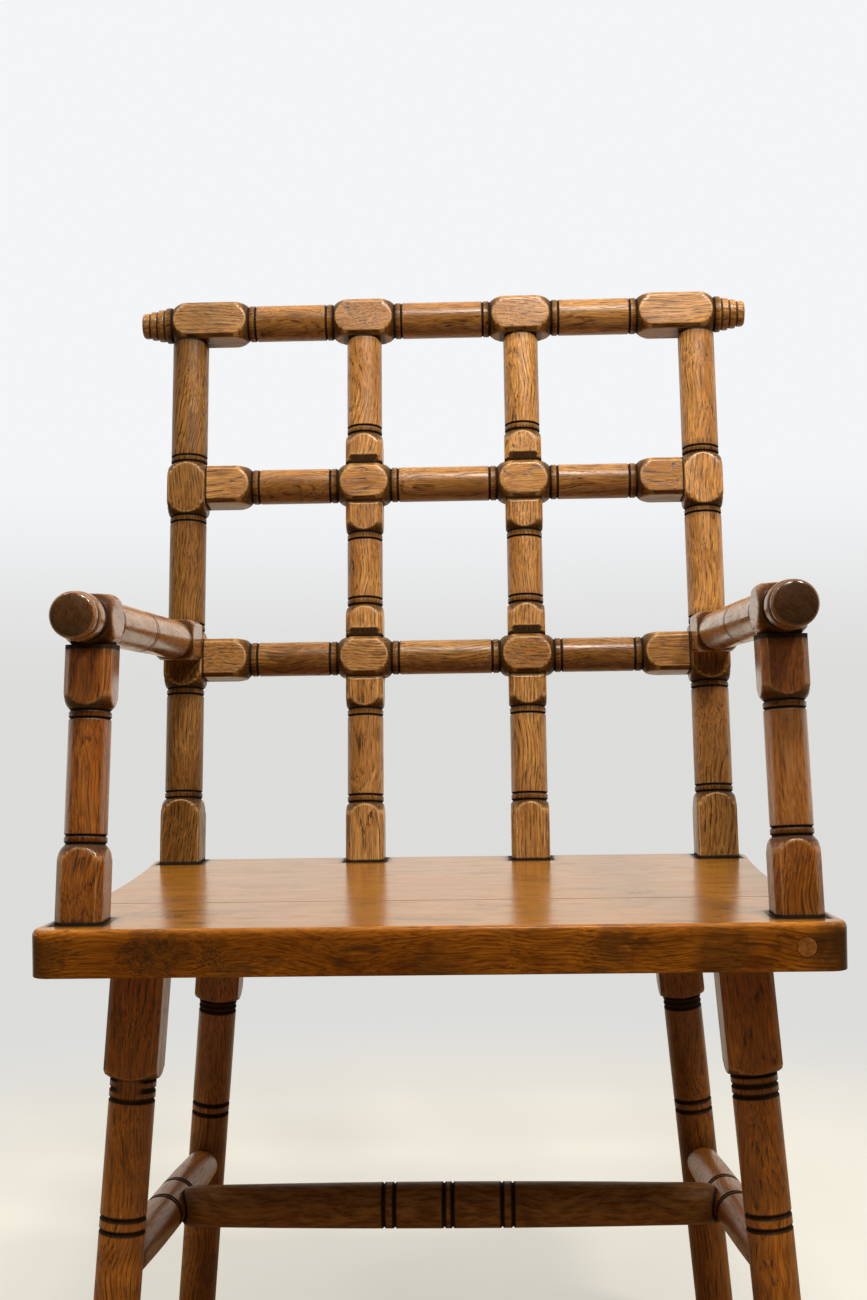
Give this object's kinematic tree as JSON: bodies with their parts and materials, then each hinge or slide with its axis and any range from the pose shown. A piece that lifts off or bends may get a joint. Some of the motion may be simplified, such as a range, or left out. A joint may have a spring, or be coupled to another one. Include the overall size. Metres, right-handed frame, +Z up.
{
  "type": "captains chair",
  "caption": "Turned oak armchair with a raked lattice back, knobbed arms on short supports, a plank seat and splayed legs with stretchers.",
  "frame": {"origin": "on the floor, midway between the seat's front edge and the rearmost point of the crest rail, on the centre line", "axes": "+X to the right for someone who faces the chair's front, +Y towards the back, +Z up; the sitter faces -Y"},
  "size_m": [0.608, 0.5218, 0.9968],
  "materials": {
    "seat_oak": "waxed oak, satin, golden brown",
    "plug_oak": "waxed oak end grain, lighter than the board round it",
    "back_oak": "waxed oak, satin, honey brown with dark pores",
    "arm_oak": "waxed oak, polished by hands, dark brown",
    "leg_oak": "waxed oak, satin, dark brown"
  },
  "bodies": {
    "root": {"seat_back_board": "seat_oak", "seat_front_board": "seat_oak", "seat_front_plug": "plug_oak", "crest_rail": "back_oak", "middle_rail": "back_oak", "lower_rail": "back_oak", "left_back_post": "back_oak", "right_back_post": "back_oak", "left_upper_upright": "back_oak", "right_upper_upright": "back_oak", "left_middle_upright": "back_oak", "right_middle_upright": "back_oak", "left_lower_upright": "back_oak", "right_lower_upright": "back_oak", "left_arm": "arm_oak", "right_arm": "arm_oak", "left_arm_support": "arm_oak", "right_arm_support": "arm_oak", "left_front_leg": "leg_oak", "right_front_leg": "leg_oak", "left_back_leg": "leg_oak", "right_back_leg": "leg_oak", "left_side_stretcher": "leg_oak", "right_side_stretcher": "leg_oak", "cross_stretcher": "leg_oak"}
  },
  "joints": []
}
